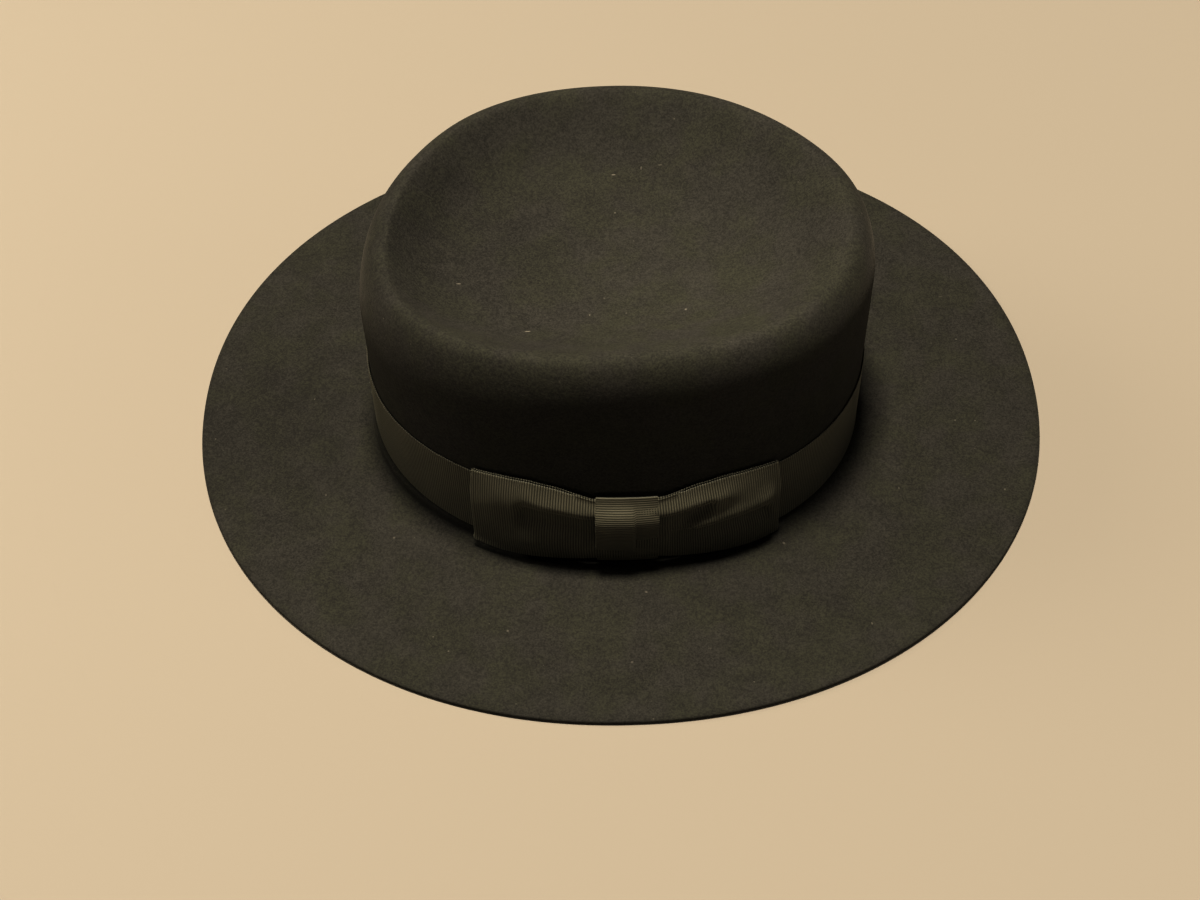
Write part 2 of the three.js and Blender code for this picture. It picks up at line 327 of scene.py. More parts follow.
        edge = self.hat_point(azimuth, -lean - reach - run, self.floor_height)
        points = mix(edge, middle, share[..., None])
        points[..., 2] = self.floor_height - self.sag(mix(floor_edge, 1.0, share))
        return points

    def sag(self, inward: Grid) -> Grid:
        """How far the dish sags at a share of the way from its crest to its middle."""
        return self.floor_sag * (1.0 - (1.0 - inward) ** 2) ** 2


# Meshes from grids of points


def new_object(name: str, data: bpy.types.ID) -> bpy.types.Object:
    """Makes an object and puts it in the scene.

    Args:
        name: Name of the object.
        data: Its mesh, light or camera.

    Returns:
        The new object.
    """
    thing = bpy.data.objects.new(name, data)
    bpy.context.scene.collection.objects.link(thing)
    return thing


def new_mesh(name: str, points: Grid, faces: list) -> bpy.types.Object:
    """Makes an object from a list of points and faces."""
    mesh = bpy.data.meshes.new(name)
    mesh.from_pydata(points.reshape(-1, 3).tolist(), [], faces)
    return new_object(name, mesh)


def new_piece(name: str, points: Grid, faces: list) -> bpy.types.Object:
    """Makes a smooth-shaded mesh object and lets it ride on the hat.

    Args:
        name: Name of the piece.
        points: Its vertices.
        faces: Its faces.

    Returns:
        The new object.
    """
    piece = new_mesh(name, points, faces)
    piece.data.polygons.foreach_set("use_smooth", [True] * len(piece.data.polygons))
    piece.data.update()
    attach(piece, "root")
    return piece


def slopes_along(points: Grid, closed: bool) -> Grid:
    """Gives the direction along a grid's rows, over the join of a closed one too."""
    around = np.roll(points, -1, axis=1) - np.roll(points, 1, axis=1)
    return around if closed else np.gradient(points, axis=1)


def unit(vectors: Grid) -> Grid:
    """Makes vectors one long."""
    return vectors / np.maximum(np.linalg.norm(vectors, axis=-1, keepdims=True), TINY)


def normals_of(points: Grid) -> Grid:
    """Works out the outward normal at each point of a grid whose rows run round the hat."""
    return unit(np.cross(slopes_along(points, closed=True), np.gradient(points, axis=0)))


def joined(index: Grid) -> Grid:
    """Repeats the first column of a grid after its last, so that its rows close."""
    return np.concatenate([index, index[..., :1]], axis=-1)


def grid_faces(index: Grid) -> list:
    """Lists the quads between the rows and columns of a grid of vertex indices."""
    corners = [index[:-1, :-1], index[:-1, 1:], index[1:, 1:], index[1:, :-1]]
    return np.stack(corners, axis=-1).reshape(-1, 4).tolist()


# Shader node groups and finishes


class Graph:
    """A node tree that is filled by adding nodes and linking them."""

    def __init__(self, tree: Tree) -> None:
        """Starts from an empty tree."""
        self.tree = tree
        tree.nodes.clear()

    def add(self, kind: str, inputs: dict | None = None, **settings: object) -> bpy.types.Node:
        """Adds a node.

        Args:
            kind: Blender's name for the node's type.
            inputs: Values or sockets for its inputs, by name or index.
            settings: Values for the node's own properties.

        Returns:
            The new node.
        """
        node = self.tree.nodes.new(kind)
        for key, value in settings.items():
            setattr(node, key, value)
        for key, value in (inputs or {}).items():
            socket = node.inputs[key]
            if isinstance(value, Socket):
                self.tree.links.new(value, socket)
            else:
                socket.default_value = (*value, 1.0) if socket.type == "RGBA" else value
        return node

    def math(self, operation: str, *values: object) -> Socket:
        """Adds a math node and returns its result."""
        inputs = dict(enumerate(values))
        return self.add("ShaderNodeMath", inputs, operation=operation).outputs[0]

    def vector(self, operation: str, *values: object, result: str = "Vector") -> Socket:
        """Adds a vector math node and returns one of its results."""
        inputs = dict(enumerate(values))
        return self.add("ShaderNodeVectorMath", inputs, operation=operation).outputs[result]

    def weigh(self, *parts: tuple[Socket, object], start: object = 0.0) -> Socket:
        """Adds up values by their weights.

        Args:
            parts: Each value and its weight.
            start: What the sum starts from.

        Returns:
            The sum.
        """
        for value, weight in parts:
            start = self.math("MULTIPLY_ADD", value, weight, start)
        return start

    def ramp(self, value: Socket, low: float, high: float) -> Socket:
        """Eases a value from 0 at low to 1 at high and returns the result."""
        inputs = {"Value": value, "From Min": low, "From Max": high}
        return self.add("ShaderNodeMapRange", inputs, interpolation_type="SMOOTHSTEP").outputs[0]

    def wave(self, turns: Socket) -> Socket:
        """Gives a wave between 0 and 1 that has a crest at every whole turn."""
        crest = self.math("COSINE", self.math("MULTIPLY", turns, math.tau))
        return self.weigh((crest, 0.5), start=0.5)

    def blend(self, share: object, low: object, high: object) -> Socket:
        """Adds a colour mix from low to high and returns its result."""
        return self.add("ShaderNodeMix", {0: share, 6: low, 7: high}, data_type="RGBA").outputs[2]

    def noise(self, place: Socket, scale: object, detail: float, rough: float) -> Socket:
        """Adds a noise texture and returns its value."""
        inputs = {"Vector": place, "Scale": scale, "Detail": detail, "Roughness": rough}
        return self.add("ShaderNodeTexNoise", inputs).outputs["Fac"]

    def bend(self, place: Socket, scale: object, detail: float, amount: float) -> Socket:
        """Shifts places unevenly.

        Args:
            place: The places.
            scale: Scale of the noise that shifts them.
            detail: Detail of that noise.
            amount: How far they move at most.

        Returns:
            The shifted places.
        """
        inputs = {"Vector": place, "Scale": scale, "Detail": detail, "Roughness": 0.5}
        colour = self.add("ShaderNodeTexNoise", inputs).outputs["Color"]
        return self.vector("ADD", place, self.vector("MULTIPLY", colour, (amount,) * 3))

    def bump(self, height: Socket, strength: float, distance: float) -> Socket:
        """Adds a bump node and returns its normal."""
        inputs = {"Height": height, "Strength": strength, "Distance": distance}
        return self.add("ShaderNodeBump", inputs).outputs[0]

    def group(self, tree: Tree, **inputs: object) -> bpy.types.NodeOutputs:
        """Adds a node group and returns its results. An underscore in a name is a space."""
        named = {name.replace("_", " "): value for name, value in inputs.items()}
        return self.add("ShaderNodeGroup", named, node_tree=tree).outputs

    def surface(self, inputs: dict) -> None:
        """Adds the shader with these inputs and gives it to the material's output."""
        shader = self.add("ShaderNodeBsdfPrincipled", inputs)
        self.add("ShaderNodeOutputMaterial", {"Surface": shader.outputs[0]})

    def give(self, **results: Socket) -> Tree:
        """Makes a group's outputs.

        Args:
            results: What each output gives, by its name.

        Returns:
            The finished group.
        """
        for name in results:
            self.tree.interface.new_socket(name, in_out="OUTPUT", socket_type="NodeSocketFloat")
        self.add("NodeGroupOutput", results)
        return self.tree


def new_group(name: str, inputs: dict[str, str]) -> tuple[Graph, dict[str, Socket]]:
    """Makes a shader node group that has only its inputs yet.

    Args:
        name: Name of the group.
        inputs: Socket type for each input, such as Float or Vector.

    Returns:
        The group's graph, and its input sockets by name.
    """
    graph = Graph(bpy.data.node_groups.new(name, "ShaderNodeTree"))
    for socket, kind in inputs.items():
        graph.tree.interface.new_socket(socket, in_out="INPUT", socket_type=f"NodeSocket{kind}")
    given = graph.add("NodeGroupInput").outputs
    return graph, {key: given[key] for key in inputs}


def new_material(name: str) -> tuple[bpy.types.Material, Graph]:
    """Makes a material with an empty node tree."""
    material = bpy.data.materials.new(name)
    material.use_nodes = True
    return material, Graph(material.node_tree)


def nap_group() -> Tree:
    """Builds the nap: short felted fibres, and the cloudy patches where they lie another way.

    Returns:
        A group with outputs Height, Fibre and Cloud.
    """
    inputs = {"Place": "Vector", "Fibre Scale": "Float", "Cloud Scale": "Float"}
    graph, given = new_group("nap", inputs)
    place = graph.bend(given["Place"], given["Cloud Scale"], detail=2.0, amount=3.0 * MM)
    fine = graph.noise(place, given["Fibre Scale"], detail=5.0, rough=0.7)
    tuft_scale = graph.weigh((given["Fibre Scale"], 0.45))
    tufts = graph.noise(place, tuft_scale, detail=4.0, rough=0.6)
    return graph.give(
        Height=graph.weigh((fine, 0.5), (tufts, 0.8)),
        Fibre=graph.weigh((fine, 0.7), (tufts, 0.3)),
        Cloud=graph.noise(given["Place"], given["Cloud Scale"], detail=5.0, rough=0.62),
    )


@dataclass(frozen=True)
class LintLayer:
    """One layer of lint: how its cells are stretched, the largest speck in a cell, and its turn."""

    stretch: tuple[float, float, float]
    speck: float
    turn: float


LINT_LAYERS = (
    LintLayer((1.0, 1.0, 1.0), 0.10, 0.0),
    LintLayer((0.4, 1.4, 1.0), 0.085, 0.9),
    LintLayer((1.3, 0.6, 1.0), 0.08, 0.4),
)


def lint_group() -> Tree:
    """Builds the lint: pale specks and short threads that settle on faces that look up.

    Returns:
        A group with output Mask.
    """
    inputs = {"Place": "Vector", "Cell Scale": "Float", "Share": "Float"}
    graph, given = new_group("lint", inputs)
    facing = graph.add("ShaderNodeNewGeometry").outputs["Normal"]
    upward = graph.add("ShaderNodeSeparateXYZ", {0: facing}).outputs[2]
    total = 0.0
    for layer in LINT_LAYERS:
        turned = {"Vector": given["Place"], "Rotation": (0.0, 0.0, layer.turn), "Scale": layer.stretch}
        place = graph.add("ShaderNodeMapping", turned).outputs[0]
        place = graph.bend(place, scale=260.0, detail=1.0, amount=1.2 * MM)
        inputs = {"Vector": place, "Scale": given["Cell Scale"]}
        cells = graph.add("ShaderNodeTexVoronoi", inputs).outputs
        chance = graph.add("ShaderNodeSeparateColor", {0: cells["Color"]}).outputs
        picked = graph.math("LESS_THAN", chance[0], given["Share"])
        size = graph.math("MULTIPLY", chance[1], layer.speck)
        edge = graph.ramp(graph.math("DIVIDE", cells["Distance"], size), low=0.5, high=1.0)
        inside = graph.math("SUBTRACT", 1.0, edge)
        strength = graph.weigh((graph.math("POWER", chance[2], 3.0), 0.7), start=0.3)
        mask = graph.math("MULTIPLY", graph.math("MULTIPLY", picked, inside), strength)
        total = graph.math("MAXIMUM", mask, total)
    return graph.give(Mask=graph.math("MULTIPLY", total, graph.ramp(upward, low=0.05, high=0.8)))


def patch_group() -> Tree:
    """Builds a soft round patch, for painted light or painted shade on the felt.

    Returns:
        A group with output Mask, 1 at the centre and 0 from the reach on.
    """
    graph, given = new_group("patch", {"Place": "Vector", "Centre": "Vector", "Reach": "Float"})
    away = graph.vector("DISTANCE", given["Place"], given["Centre"], result="Value")
    share = graph.ramp(graph.math("DIVIDE", away, given["Reach"]), low=0.0, high=1.0)
    return graph.give(Mask=graph.math("SUBTRACT", 1.0, share))


def weave_group() -> Tree:
    """Builds the weave of ribbed ribbon: ribs across its length, with fine threads over them.

    Returns:
        A group with outputs Height, Rib and Thread.
    """
    graph, given = new_group("ribbed weave", {"Count": "Vector", "Thread Depth": "Float"})
    ribs, threads, _ = graph.add("ShaderNodeSeparateXYZ", {0: given["Count"]}).outputs
    rib = graph.wave(ribs)
    row = graph.math("FLOOR", graph.math("ADD", ribs, 0.5))
    stagger = graph.math("MODULO", row, 2.0)
    thread = graph.wave(graph.weigh((stagger, 0.5), start=threads))
    height = graph.weigh((thread, given["Thread Depth"]), start=graph.math("SQRT", rib))
    return graph.give(Height=height, Rib=rib, Thread=thread)


@dataclass(frozen=True)
class Patch:
    """A soft round patch of painted light or painted shade on the felt, paler or darker by its
    strength.
    """

    centre: Place
    reach: float
    strength: float


@dataclass(frozen=True)
class FeltFinish:
    """Fur felt: very dark, matt, with a short nap that catches light at its fibre ends.

    deep is the colour between the fibres, and raised and olive are the two at their ends. Scales
    and cells are counts for each metre. Weights, shares and strengths run from 0 to 1.
    """

    name: str
    deep: Colour = (0.020, 0.0192, 0.0168)
    raised: Colour = (0.0535, 0.0513, 0.0447)
    olive: Colour = (0.0520, 0.0524, 0.0385)
    lint: Colour = (0.20, 0.185, 0.155)
    fibre_scale: float = 1300.0
    fibre_weight: float = 0.66
    cloud_scale: float = 85.0
    cloud_weight: float = 0.18
    tint_scale: float = 45.0
    lint_cells: float = 125.0
    lint_share: float = 0.4
    speck_cells: float = 500.0
    speck_share: float = 0.7
    speck_strength: float = 0.45
    # Patches of painted light on the dish's near side, and of painted shade on its front part and on
    # the brim's front.
    painted_light_patches: tuple[Patch, ...] = (Patch((0.035, -0.040, 0.10), 0.09, 0.22),)
    painted_shade_patches: tuple[Patch, ...] = (
        Patch((-0.070, 0.005, 0.095), 0.07, 0.16),
        Patch((-0.150, -0.010, 0.002), 0.08, 0.20),
    )
    bump: float = 0.5
    bump_height: float = 0.45 * MM
    roughness: float = 0.88
    fibre_roughness: float = 0.08
    specular: float = 0.18
    sheen: float = 0.06
    sheen_roughness: float = 0.42
    sheen_tint: Colour = (0.62, 0.57, 0.48)

    def build(self, nap: Tree, lint: Tree, patch: Tree) -> bpy.types.Material:
        """Makes the material.

        Args:
            nap: The nap's node group.
            lint: The lint's node group.
            patch: The node group of a patch of painted light or painted shade.

        Returns:
            The finished material.
        """
        material, graph = new_material(self.name)
        place = graph.add("ShaderNodeTexCoord").outputs["Object"]
        scales = {"Fibre_Scale": self.fibre_scale, "Cloud_Scale": self.cloud_scale}
        fibres = graph.group(nap, Place=place, **scales)
        light = graph.ramp(fibres["Fibre"], low=0.38, high=0.62)
        cloud = graph.ramp(fibres["Cloud"], low=0.30, high=0.72)
        share = graph.weigh((cloud, self.cloud_weight), (light, self.fibre_weight))
        # Paints light and shade into the felt's colour: paler within each light patch, darker within
        # each shade patch.
        for spots, sign in ((self.painted_light_patches, 1.0), (self.painted_shade_patches, -1.0)):
            for spot in spots:
                mark = graph.group(patch, Place=place, Centre=spot.centre, Reach=spot.reach)
                share = graph.weigh((mark["Mask"], sign * spot.strength), start=share)
        tint = graph.noise(place, self.tint_scale, detail=3.0, rough=0.6)
        ends = graph.blend(graph.ramp(tint, low=0.38, high=0.62), self.raised, self.olive)
        colour = graph.blend(share, self.deep, ends)
        for cells, part, strength in (
            (self.speck_cells, self.speck_share, self.speck_strength),
            (self.lint_cells, self.lint_share, 1.0),
        ):
            mask = graph.group(lint, Place=place, Cell_Scale=cells, Share=part)["Mask"]
            colour = graph.blend(graph.weigh((mask, strength)), colour, self.lint)
        graph.surface(
            {
                "Base Color": colour,
                "Roughness": graph.weigh((light, self.fibre_roughness), start=self.roughness),
                "Normal": graph.bump(fibres["Height"], self.bump, self.bump_height),
                "Specular IOR Level": self.specular,
                "Sheen Weight": self.sheen,
                "Sheen Roughness": self.sheen_roughness,
                "Sheen Tint": self.sheen_tint,
            }
        )
        return material


@dataclass(frozen=True)
class RibbonFinish:
    """Ribbed ribbon: olive black, with its low silky sheen painted as a highlight on the crest of each
    rib and painted shade in the valleys between ribs.

    The weights say how much of the crest's painted highlight comes from ribs and from threads, and
    uneven and its steady part how much of that a slow noise leaves.
    """

    name: str
    # The valley and crest colours are the ribbon's olive black, with painted shade between the ribs
    # and a painted highlight on their crests.
    valley_shade: Colour = (0.016, 0.0155, 0.011)
    crest: Colour = (0.205, 0.199, 0.150)
    rib_weight: float = 0.75
    thread_weight: float = 0.25
    thread_depth: float = 0.35
    uneven_scale: float = 90.0
    uneven: float = 0.6
    steady: float = 0.7
    roughness: float = 0.42
    uneven_roughness: float = 0.16
    bump: float = 0.35
    bump_height: float = 0.1 * MM
    specular: float = 0.4
    sheen: float = 0.22
    sheen_roughness: float = 0.35
    sheen_tint: Colour = (0.6, 0.58, 0.46)

    def build(self, weave: Tree) -> bpy.types.Material:
        """Makes the material.

        Args:
            weave: The weave's node group.

        Returns:
            The finished material.
        """
        material, graph = new_material(self.name)
        count = graph.add("ShaderNodeUVMap", uv_map="weave").outputs[0]
        cloth = graph.group(weave, Count=count, Thread_Depth=self.thread_depth)
        place = graph.add("ShaderNodeTexCoord").outputs["Object"]
        noise = graph.noise(place, self.uneven_scale, detail=4.0, rough=0.6)
        # Painted highlight on the rib crests and raised threads, and painted shade between them.
        lit = graph.weigh((cloth["Rib"], self.rib_weight), (cloth["Thread"], self.thread_weight))
        share = graph.math("MULTIPLY", lit, graph.weigh((noise, self.uneven), start=self.steady))
        graph.surface(
            {
                "Base Color": graph.blend(share, self.valley_shade, self.crest),
                "Roughness": graph.weigh((noise, self.uneven_roughness), start=self.roughness),
                "Normal": graph.bump(cloth["Height"], self.bump, self.bump_height),
                "Specular IOR Level": self.specular,
                "Sheen Weight": self.sheen,
                "Sheen Roughness": self.sheen_roughness,
                "Sheen Tint": self.sheen_tint,
            }
        )
        return material


# The felt


@dataclass(frozen=True)
class Wave:
    """A wave through the felt: its radians for each metre along x, y and z, and its start."""

    x: float
    y: float
    z: float
    start: float

    def at(self, points: Grid) -> Grid:
        """Gives the wave's height at points, between -1 and 1."""
        return np.sin(points @ np.array([self.x, self.y, self.z]) + self.start)


SLOW_WAVES = (Wave(31, 13, 0, 0.4), Wave(-17, 37, 0, 1.9))
QUICK_WAVES = (Wave(61, -47, 53, 2.2), Wave(-23, 83, 71, 0.7))


@dataclass
class FeltBody:
    """Crown and brim, one shell of fur felt with a raw cut edge, hollow and open below.

    The waves are how uneven hand-shaped felt is. The brim's start at a share of the crown's oval,
    the crown's at a height, and both grow over the distance that follows.
    """

    form: HatForm
    columns: int = 320
    edge_rows: int = 7
    brim_wave: float = 0.35 * MM
    brim_wave_from: float = 1.1
    brim_wave_ease: float = 0.3
    crown_wave: float = 0.30 * MM
    crown_wave_from: float = 60.0 * MM
    crown_wave_ease: float = 30.0 * MM

    outer_rows = (26, 5, 6, 26, 22, 34, 16)
    inner_rows = (14, 4, 4, 14, 12, 20, 10)

    @property
    def azimuth(self) -> Grid:
        """The angle of each column from the back of the hat."""
        return np.linspace(0.0, math.tau, self.columns, endpoint=False)[None, :]

    def face_points(self, rows: tuple[int, ...]) -> Grid:
        """Lays out the outer face with its soft unevenness.

        Args:
            rows: Number of rows for each Stretch of the profile, in order.

        Returns:
            A grid of points from the brim's edge to just short of the middle of the dish.
        """
        stretches = []
        for stretch, count in zip(Stretch, rows):
            share = (np.arange(count) / count)[:, None]
            stretches.append(self.form.outer_face(stretch, self.azimuth, share))
        points = np.concatenate(stretches)
        return points + normals_of(points) * self.unevenness(points)[..., None]

    def unevenness(self, points: Grid) -> Grid:
        """Gives how far hand-shaped felt stands off its true form.

        Args:
            points: Points of the true form.

        Returns:
            A distance for each point, fading out at the break.
        """
        slow = sum(wave.at(points) for wave in SLOW_WAVES)
        quick = sum(wave.at(points) for wave in QUICK_WAVES)
        x, y, z = np.moveaxis(points, -1, 0)
        on_brim = 1.0 - smooth((z - self.form.felt_thickness) / (2.0 * self.form.wall_foot))
        out = np.hypot(x / self.form.crown_half_length, y / self.form.crown_half_width)
        outside = smooth((out - self.brim_wave_from) / self.brim_wave_ease)
        above = smooth((z - self.crown_wave_from) / self.crown_wave_ease)
        brim = self.brim_wave * (slow / 4 + 0.5) * outside * on_brim
        return brim + self.crown_wave * (slow + quick) / 4 * above

    def build(self, material: bpy.types.Material) -> bpy.types.Object:
        """Builds the shell, dresses it and lets it stand for its CAD node.

        Args:
            material: The felt's material.

        Returns:
            The finished piece.
        """
        thickness = self.form.felt_thickness
        outer = self.face_points(self.outer_rows)
        whole = self.face_points(self.inner_rows)
        inner = whole - normals_of(whole) * thickness
        share = (np.arange(1, self.edge_rows) / self.edge_rows)[:, None]
        inset = self.form.edge_round * np.abs(2.0 * share - 1.0) ** 3
        edge = self.form.brim_outline(self.azimuth, inset, thickness * share)
        edge[..., 2] += mix(inner[0, :, 2], outer[0, :, 2] - thickness, share)
        middle = outer[-1].mean(axis=0)
        middle[2] = self.form.floor_height - self.form.floor_sag
        under = middle - [0.0, 0.0, thickness]
        grid = np.concatenate([inner[::-1], edge, outer])
        size = len(grid) * self.columns
        index = joined(np.arange(size).reshape(len(grid), self.columns))
        faces = grid_faces(index)
        inside, outside = index[0].tolist(), index[-1].tolist()
        faces += [[size, after, before] for before, after in zip(inside, inside[1:])]
        faces += [[before, after, size + 1] for before, after in zip(outside, outside[1:])]
        points = np.concatenate([grid.reshape(-1, 3), [under, middle]])
        piece = new_piece("fur_felt_body", points, faces)
        piece.data.materials.append(material)
        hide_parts("felt_body")
        return piece


# The ribbon


@dataclass(frozen=True)
class Ribbon:
    """Ribbed ribbon by the length, whose ribs run across it.

    rib_pitch and rib_depth are one rib's, and thread_pitch is that of the fine threads along the
    ribbon. The selvage is the firm woven edge. Its lip, bead and groove are shares of the ribbon's
    thickness, and bead_at, bead_spread and groove_at are measured in selvages from the edge.
    """

    width: float
    thickness: float = 0.5 * MM
    rib_pitch: float = 1.05 * MM
    rib_depth: float = 0.11 * MM
    thread_pitch: float = 0.30 * MM
    selvage: float = 0.9 * MM
    lip: float = 0.30
    bead: float = 0.50
    bead_at: float = 0.45
    bead_spread: float = 0.245
    groove: float = 0.72
    groove_at: float = 0.4
    scallop: float = 0.10 * MM
    scallop_width: float = 0.6
    columns_per_rib: int = 4

    def levels(self, count: int) -> Grid:
        """Spaces the rows across the ribbon, closer at its two edges.

        Args:
            count: Number of rows over the ribbon's body.

        Returns:
            Levels from 0 to 1.
        """
        edge = np.array([0.0, 0.25, 0.6, 1.0]) * self.selvage / self.width
        body = np.linspace(edge[-1], 1.0 - edge[-1], count)[1:-1]
        return np.concatenate([edge, body, 1.0 - edge[::-1]])

    def section(self, inside: Grid) -> Grid:
        """Gives the ribbon's thickness as a share, by the distance from its edge in selvages."""
        body = mix(self.groove, 1.0, smooth(inside - self.groove_at))
        bead = self.bead * bell(inside - self.bead_at, self.bead_spread)
        return np.where(inside < TINY, self.lip, body + bead)

    def strip(
        self,
        name: str,
        path: Callable[[Grid, Grid], Grid],
        length: float,
        rows: int,
        closed: bool,
    ) -> bpy.types.Object:
        """Makes a length of ribbon as one thick mesh with its ribs and selvages.

        Args:
            name: Name of the piece.
            path: Gives points of the ribbon's middle layer for shares of its length, along the
                columns, and levels across its width, along the rows.
            length: Length of the ribbon, which sets how many ribs it has.
            rows: Number of rows over the ribbon's body.
            closed: Whether its ends meet.

        Returns:
            The new object, with a UV map that counts ribs and threads.
        """
        ribs = round(length / self.rib_pitch)
        count = ribs * self.columns_per_rib + (0 if closed else 1)
        share = np.arange(count) / (ribs * self.columns_per_rib)
        level = self.levels(rows)
        middle = path(share[None, :], level[:, None])
        across = unit(np.gradient(middle, axis=0))
        normal = unit(np.cross(slopes_along(middle, closed), across))
        wave = np.cos(math.tau * share * ribs)[None, :]
        inside = np.minimum(level, 1.0 - level)[:, None] * self.width / self.selvage
        half = self.thickness * self.section(inside) + self.rib_depth * wave * smooth(inside * 2)
        edge_out = np.sign(level - 0.5)[:, None] * (1.0 - smooth(inside / self.scallop_width))
        middle = middle + across * (edge_out * self.scallop * wave)[..., None]
        lift = normal * half[..., None] / 2
        size = len(level) * count
        index = np.arange(2 * size).reshape(2, len(level), count)
        front, back = joined(index) if closed else index
        faces = grid_faces(front) + grid_faces(back[::-1])
        borders = [(back[0], front[0]), (front[-1], back[-1])]
        if not closed:
            borders += [(front[:, 0], back[:, 0]), (back[:, -1], front[:, -1])]
        for border in borders:
            faces += grid_faces(np.stack(border))
        piece = new_piece(name, np.stack([middle + lift, middle - lift]), faces)
        self.mark_weave(piece, share * ribs, level * self.width / self.thread_pitch, closed)
        return piece

    def mark_weave(self, piece: bpy.types.Object, ribs: Grid, threads: Grid, closed: bool) -> None:
        """Writes the UV map that counts ribs along the ribbon and threads across it.

        Args:
            piece: The ribbon's object.
            ribs: Rib number of each column.
            threads: Thread number of each row.
            closed: Whether the ribbon's ends meet.
        """
        mesh = piece.data
        vertex = np.zeros(len(mesh.loops), int)
        mesh.loops.foreach_get("vertex_index", vertex)
        row, column = np.divmod(vertex % (len(ribs) * len(threads)), len(ribs))
        u, v = ribs[column], threads[row]
        if closed:
            total = ribs[-1] + ribs[1]
            face = u.reshape(-1, 4)
            over_join = face.max(axis=1, keepdims=True) - face > total / 2
            u = np.where(over_join, face + total, face).ravel()
        layer = mesh.uv_layers.new(name="weave")
        layer.uv.foreach_set("vector", np.stack([u, v], axis=-1).astype(np.float32).ravel())


@dataclass
class HatBand:
    """The ribbon round the foot of the crown, a little higher at the hat's front.

    rise is how far its lower edge is over the wall's foot, and tilt how much higher it is at the
    front and lower at the back. Behind the bow, over about the angle bow_reach, it is narrower by
    the share bow_pull.
    """

    form: HatForm
    ribbon: Ribbon
    rise: float = 3.4 * MM
    tilt: float = 3.3 * MM
    lift: float = 0.55 * MM
    bow_pull: float = 0.08
    bow_reach: float = 0.24
    stations: int = 721
    rows: int = 8

    def point(self, azimuth: Grid, level: Grid, offset: Grid) -> Grid:
        """Gives points on or over the crown's wall within the ribbon's width.

        Args:
            azimuth: Angles from the back of the hat.
            level: Shares of the ribbon's width from its lower edge.
            offset: Distances out from the felt.

        Returns:
            The points.
        """
        foot = self.form.wall_foot + self.rise - self.tilt * np.cos(azimuth)
        height = foot + self.ribbon.width * level
        return self.form.hat_point(azimuth, self.form.wall_reach(azimuth, height) + offset, height)

    def build(self, material: bpy.types.Material) -> bpy.types.Object:
        """Args:
            material: The ribbon's material.

        Returns:
            The finished piece.
        """
        turn = np.linspace(0.0, math.tau, self.stations)
        line = self.point(turn, np.array(0.5), np.array(self.lift))
        turn_at, length = even_pace(line, turn)

        def path(share: Grid, level: Grid) -> Grid:
            """Runs the ribbon round the crown at an even pace, pulled down behind the bow."""
            azimuth = turn_at(share)
            pull = 1.0 - self.bow_pull * bell(azimuth - 1.5 * math.pi, self.bow_reach)
            return self.point(azimuth, level * pull, np.full_like(level, self.lift))

        piece = self.ribbon.strip("ribbon_band", path, length, self.rows, closed=True)
        piece.data.materials.append(material)
        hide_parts("hat_band")
        return piece


# The bow


@dataclass(frozen=True)
class Fold:
    """A ridge or hollow that runs along a loop's front layer.

    It runs from (along, level) near the knot to (far_along, far_level). height is how far it stands
    out, below zero for a hollow, and spread is half its width as a share of the ribbon's. fade is
    the share of its length over which it ends, to both sides of its far end. It starts over
    FOLD_START, a share of the loop's length.
    """

    along: float
    level: float
    far_along: float
    far_level: float
    height: float
    spread: float
    far_spread: float
    fade: float = 0.2

    def at(self, along: Grid, level: Grid) -> Grid:
        """Gives how far the fold moves the front layer out.

        Args:
            along: Shares of the loop's length from the knot.
            level: Shares of the ribbon's width.

        Returns:
            A distance for each point.
        """
        share = (along - self.along) / (self.far_along - self.along)
        within = np.clip(share, 0.0, 1.0)
        centre = mix(self.level, self.far_level, within)
        spread = mix(self.spread, self.far_spread, within)
        inner = 1.0 - smooth((self.along - along) / FOLD_START)
        outer = 1.0 - smooth((share - 1.0 + self.fade) / (2.0 * self.fade))
        return self.height * inner * outer * bell(level - centre, spread)


@dataclass(frozen=True)
class LoopSection:
    """A loop's section at a share of its length from the knot.

    low and high are the levels of the ribbon's two edges, and ridge is a share of its own width.
    top, middle and bottom are how far the front layer stands off the back one at the upper edge,
    at the ridge and at the lower edge.
    """

    along: float
    low: float
    high: float
    ridge: float
    top: float
    middle: float
    bottom: float


FOLD_START = 0.1

LOOP_SECTIONS = (
    LoopSection(0.00, 0.02, 0.97, 0.82, 0.8 * MM, 2.6 * MM, 1.0 * MM),
    LoopSection(0.10, 0.00, 1.01, 0.81, 0.9 * MM, 3.4 * MM, 1.3 * MM),
    LoopSection(0.30, -0.04, 1.09, 0.79, 1.0 * MM, 4.0 * MM, 1.8 * MM),
    LoopSection(0.55, -0.06, 1.14, 0.76, 1.0 * MM, 4.0 * MM, 2.5 * MM),
    LoopSection(0.80, -0.07, 1.12, 0.68, 0.9 * MM, 3.6 * MM, 3.0 * MM),
    LoopSection(1.00, -0.06, 1.08, 0.52, 0.8 * MM, 2.8 * MM, 2.8 * MM),
)

